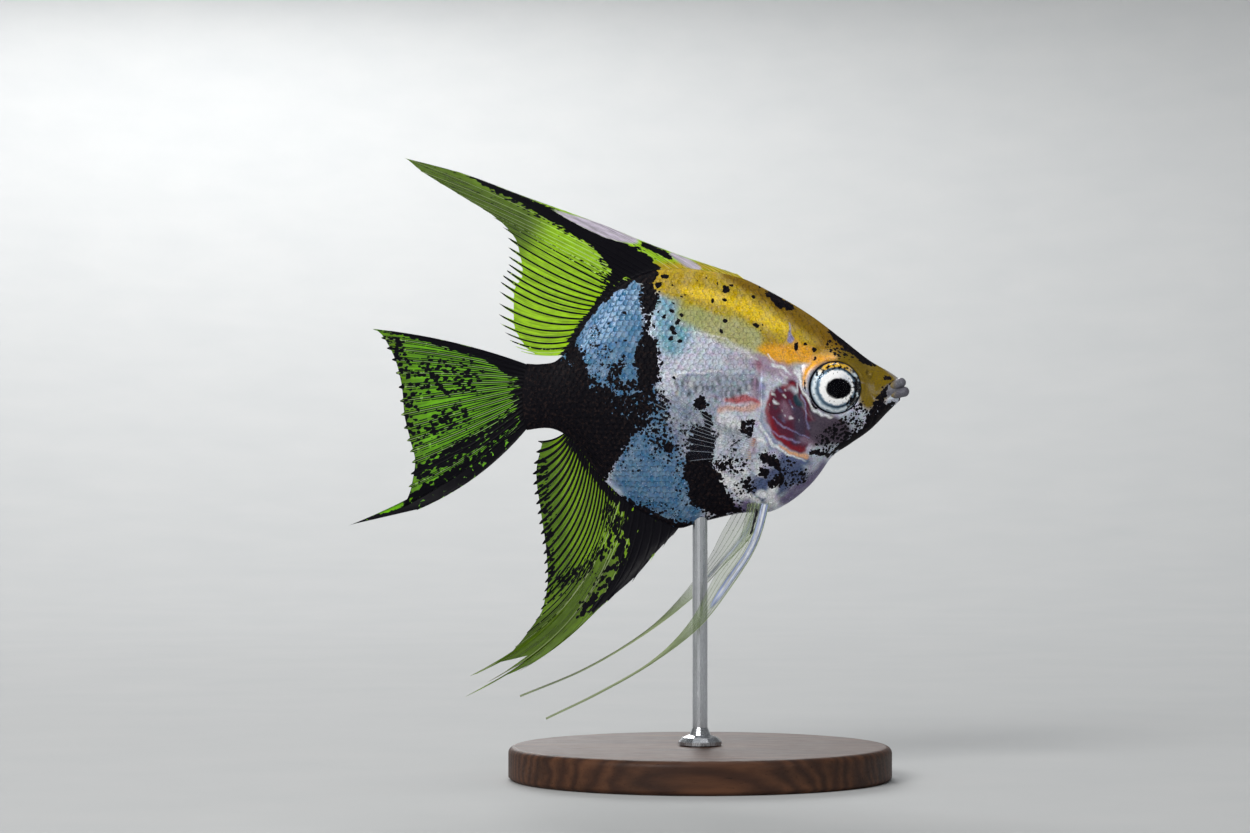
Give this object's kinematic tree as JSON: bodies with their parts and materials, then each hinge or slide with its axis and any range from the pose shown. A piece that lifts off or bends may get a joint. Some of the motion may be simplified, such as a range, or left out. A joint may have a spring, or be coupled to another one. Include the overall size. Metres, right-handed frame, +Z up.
{
  "type": "freshwater angelfish",
  "caption": "Life-size young koi angelfish as a still museum model: tall disc body, swept dorsal and anal fins, trailing belly threads, held on a round stand by a rod.",
  "frame": {"origin": "centre of the stand's underside, on the ground", "axes": "+X towards the snout, +Y towards the fish's left side, +Z up"},
  "size_m": [0.0672, 0.046, 0.0746],
  "materials": {
    "skin": "wet scaled skin, blue-silver with black patches, gold back and black tail stalk",
    "lips": "smooth wet grey-lavender skin",
    "gill_cover": "thin silvery skin over dark red gills",
    "eye": "silver ringed iris and black pupil under a clear cornea",
    "fin": "translucent yellow-green membrane with black rays",
    "clear_fin": "clear membrane with whitish rays",
    "stand_wood": "dark walnut, satin lacquer",
    "stand_steel": "brushed steel rod"
  },
  "bodies": {
    "root": {"head": "skin", "trunk": "skin", "tail": "skin", "upper_jaw": "lips", "lower_jaw": "lips", "gill_cover_right": "gill_cover", "gill_cover_left": "gill_cover", "eye_right": "eye", "eye_left": "eye", "dorsal_fin": "fin", "anal_fin": "fin", "caudal_fin": "fin", "pectoral_fin_right": "clear_fin", "pectoral_fin_left": "clear_fin", "pelvic_fin_right": "clear_fin", "pelvic_fin_left": "clear_fin", "stand_base": "stand_wood", "stand_rod": "stand_steel"}
  },
  "joints": []
}
